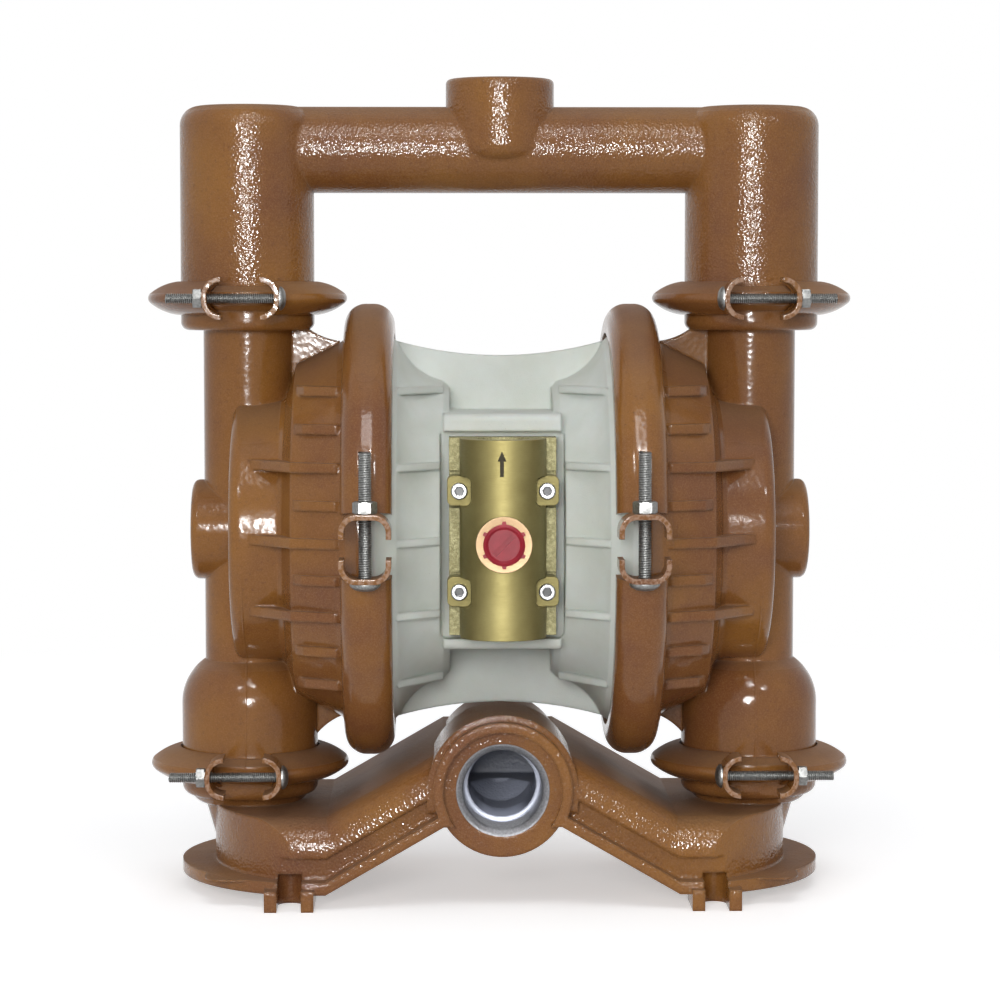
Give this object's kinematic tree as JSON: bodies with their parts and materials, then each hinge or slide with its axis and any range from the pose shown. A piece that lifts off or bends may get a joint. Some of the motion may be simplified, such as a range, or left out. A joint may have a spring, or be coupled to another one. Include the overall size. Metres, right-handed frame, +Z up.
{
  "type": "air operated diaphragm pump",
  "caption": "Air operated double diaphragm pump: two clamped round chambers on a common shaft, ball valve columns, top discharge and bottom suction manifolds, brass air valve in front.",
  "frame": {"origin": "on the floor, below the middle of the pump", "axes": "+Z up, out of the discharge port; +X to the right seen from the suction port, along the diaphragm shaft; -Y to the front, out of the suction port"},
  "size_m": [0.4432, 0.3245, 0.508],
  "materials": {
    "orange_paint": "glossy orange-brown enamel over cast iron",
    "grey_plastic": "moulded light grey polypropylene",
    "white_plastic": "smooth white plastic",
    "black_rubber": "matt black rubber",
    "bright_steel": "ground stainless steel",
    "zinc_steel": "zinc-plated steel",
    "bronze": "plain bronze",
    "cast_aluminium": "cast aluminium",
    "brass": "cast and machined brass",
    "red_plastic": "moulded red plastic",
    "black_plastic": "moulded black plastic"
  },
  "bodies": {
    "pump": {"air_valve_body": "brass", "air_valve_bolts": "zinc_steel", "air_valve_cap_bottom": "brass", "air_valve_cap_top": "brass", "air_valve_gasket": "black_rubber", "air_valve_nuts": "zinc_steel", "center_section": "grey_plastic", "diaphragm_left": "black_rubber", "diaphragm_right": "black_rubber", "discharge_manifold": "orange_paint", "end_cap_o_rings": "black_rubber", "inlet_manifold": "orange_paint", "large_clamp_bolts": "zinc_steel", "large_clamp_left_lower": "orange_paint", "large_clamp_left_upper": "orange_paint", "large_clamp_nuts": "zinc_steel", "large_clamp_right_lower": "orange_paint", "large_clamp_right_upper": "orange_paint", "liquid_chamber_left": "orange_paint", "liquid_chamber_right": "orange_paint", "muffler": "black_plastic", "muffler_gasket": "black_rubber", "muffler_plate": "orange_paint", "seat_o_rings": "black_rubber", "shaft_bushing": "bronze", "shaft_seals": "black_rubber", "small_clamp_bolts": "zinc_steel", "small_clamp_discharge_left_inner": "orange_paint", "small_clamp_discharge_left_outer": "orange_paint", "small_clamp_discharge_right_inner": "orange_paint", "small_clamp_discharge_right_outer": "orange_paint", "small_clamp_inlet_left_inner": "orange_paint", "small_clamp_inlet_left_outer": "orange_paint", "small_clamp_inlet_right_inner": "orange_paint", "small_clamp_inlet_right_outer": "orange_paint", "small_clamp_nuts": "zinc_steel", "snap_rings": "bright_steel", "valve_seat_discharge_left": "white_plastic", "valve_seat_discharge_right": "white_plastic", "valve_seat_inlet_left": "white_plastic", "valve_seat_inlet_right": "white_plastic"},
    "shaft_set": {"diaphragm_shaft": "bright_steel", "inner_piston_left": "cast_aluminium", "inner_piston_right": "cast_aluminium", "outer_piston_left": "cast_aluminium", "outer_piston_right": "cast_aluminium"},
    "ball_inlet_left": {"valve_ball_inlet_left": "black_rubber"},
    "ball_inlet_right": {"valve_ball_inlet_right": "black_rubber"},
    "ball_discharge_left": {"valve_ball_discharge_left": "black_rubber"},
    "ball_discharge_right": {"valve_ball_discharge_right": "black_rubber"},
    "spool": {"air_valve_spool": "white_plastic"},
    "inlet_plug": {"air_inlet_plug": "red_plastic"}
  },
  "joints": [
    {"name": "shaft_slide", "type": "slide", "parent": "pump", "child": "shaft_set", "axis": [1, 0, 0], "range_m": [-0.018, 0.018], "deforming": ["diaphragm_left", "diaphragm_right"]},
    {"name": "ball_inlet_left_lift", "type": "slide", "parent": "pump", "child": "ball_inlet_left", "axis": [0, 0, 1], "range_m": [0, 0.018]},
    {"name": "ball_inlet_right_lift", "type": "slide", "parent": "pump", "child": "ball_inlet_right", "axis": [0, 0, 1], "range_m": [0, 0.018]},
    {"name": "ball_discharge_left_lift", "type": "slide", "parent": "pump", "child": "ball_discharge_left", "axis": [0, 0, 1], "range_m": [0, 0.018]},
    {"name": "ball_discharge_right_lift", "type": "slide", "parent": "pump", "child": "ball_discharge_right", "axis": [0, 0, 1], "range_m": [0, 0.018]},
    {"name": "spool_slide", "type": "slide", "parent": "pump", "child": "spool", "axis": [0, 0, 1], "range_m": [0, 0.02]},
    {"name": "plug_pull", "type": "slide", "parent": "pump", "child": "inlet_plug", "axis": [0, -1, 0], "range_m": [0, 0.03]}
  ]
}
